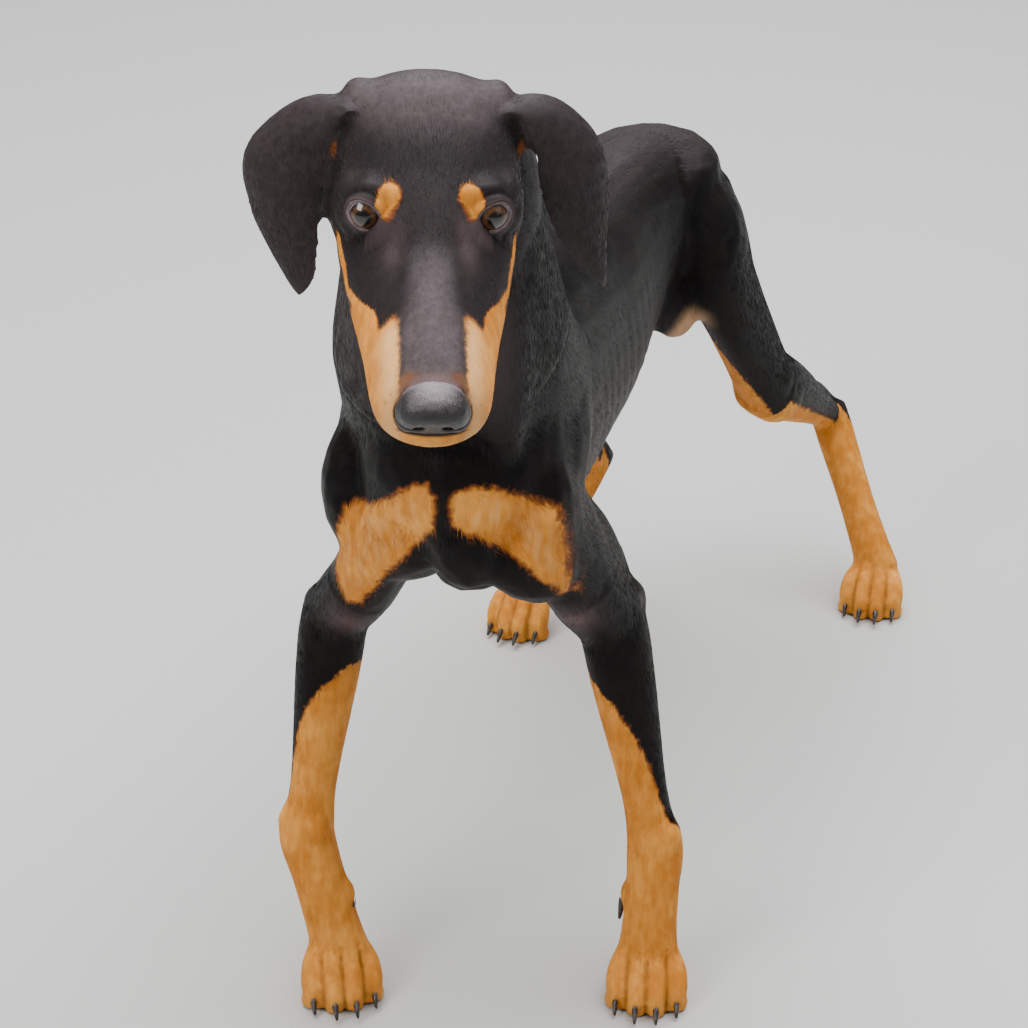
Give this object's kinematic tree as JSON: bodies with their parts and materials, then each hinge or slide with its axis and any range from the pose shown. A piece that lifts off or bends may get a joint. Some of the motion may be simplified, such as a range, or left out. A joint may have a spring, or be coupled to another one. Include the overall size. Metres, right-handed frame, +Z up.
{
  "type": "doberman pinscher puppy",
  "caption": "Still, life-size standing doberman pinscher puppy with natural hanging ears, in a wide, watchful stance.",
  "frame": {"origin": "on the floor, under the middle of the whole dog's box", "axes": "+Z up; the body faces -Y with the head turned to its own left; the dog's left side is +X"},
  "size_m": [0.2778, 0.8286, 0.5959],
  "materials": {
    "black_coat": "short glossy black fur",
    "tan_coat": "short rust-tan fur",
    "nose_leather": "moist pebbled dark grey nose leather",
    "eye": "wet brown eye",
    "claw_horn": "dark claw horn"
  },
  "bodies": {
    "root": {"head": "black_coat", "neck": "black_coat", "chest": "black_coat", "belly": "black_coat", "rump": "black_coat", "tail": "black_coat", "lower_jaw": "tan_coat", "left_upper_arm": "black_coat", "left_forearm": "tan_coat", "left_front_pastern": "tan_coat", "left_front_paw": "tan_coat", "left_thigh": "black_coat", "left_lower_leg": "black_coat", "left_hind_pastern": "tan_coat", "left_hind_paw": "tan_coat", "left_ear": "black_coat", "left_eye": "eye", "left_dewclaw": "claw_horn", "left_front_claw_1": "claw_horn", "left_front_claw_2": "claw_horn", "left_front_claw_3": "claw_horn", "left_front_claw_4": "claw_horn", "left_hind_claw_1": "claw_horn", "left_hind_claw_2": "claw_horn", "left_hind_claw_3": "claw_horn", "left_hind_claw_4": "claw_horn", "right_upper_arm": "black_coat", "right_forearm": "tan_coat", "right_front_pastern": "tan_coat", "right_front_paw": "tan_coat", "right_thigh": "black_coat", "right_lower_leg": "black_coat", "right_hind_pastern": "tan_coat", "right_hind_paw": "tan_coat", "right_ear": "black_coat", "right_eye": "eye", "right_dewclaw": "claw_horn", "right_front_claw_1": "claw_horn", "right_front_claw_2": "claw_horn", "right_front_claw_3": "claw_horn", "right_front_claw_4": "claw_horn", "right_hind_claw_1": "claw_horn", "right_hind_claw_2": "claw_horn", "right_hind_claw_3": "claw_horn", "right_hind_claw_4": "claw_horn", "nose": "nose_leather"}
  },
  "joints": []
}
